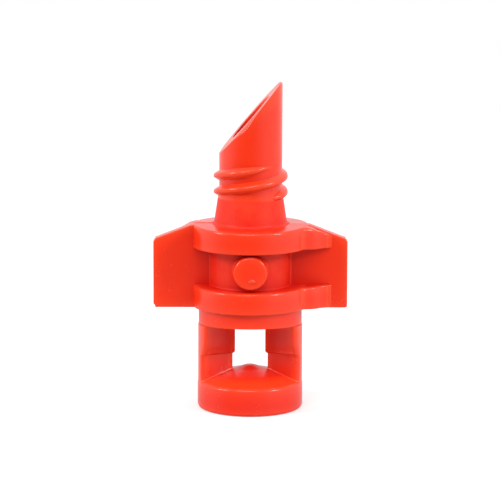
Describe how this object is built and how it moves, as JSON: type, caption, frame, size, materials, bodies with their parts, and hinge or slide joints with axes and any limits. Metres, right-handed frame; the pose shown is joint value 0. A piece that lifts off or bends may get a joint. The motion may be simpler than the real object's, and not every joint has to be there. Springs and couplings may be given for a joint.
{
  "type": "drip irrigation micro spray nozzle",
  "caption": "Push-in micro spray nozzle: bevelled piercing quill with short thread, finger wings on two flanges, and a windowed cage with a cone that spreads the jet.",
  "frame": {"origin": "centre of the foot's underside, on the nozzle's axis", "axes": "+Z along the axis from the foot to the piercing tip; +X towards the high side of the bevel; -Y towards the gate boss"},
  "size_m": [0.0158, 0.0094, 0.0266],
  "materials": {
    "red_gloss": "smooth moulded polypropylene, orange red, glossy",
    "red_matte": "spark-textured moulded polypropylene, orange red, dull"
  },
  "bodies": {
    "root": {"deflector_base": "red_gloss", "deflector_cone": "red_gloss", "left_leg": "red_gloss", "right_leg": "red_gloss", "outlet_collar": "red_gloss", "jet_nozzle": "red_gloss", "lower_flange": "red_gloss", "upper_flange": "red_gloss", "gate_boss": "red_gloss", "inlet_thread": "red_gloss", "piercing_quill": "red_gloss", "left_wing": "red_gloss", "right_wing": "red_gloss", "left_lower_rib": "red_gloss", "left_upper_rib": "red_gloss", "right_lower_rib": "red_gloss", "right_upper_rib": "red_gloss", "barrel": "red_matte", "tapered_neck": "red_matte"}
  },
  "joints": []
}
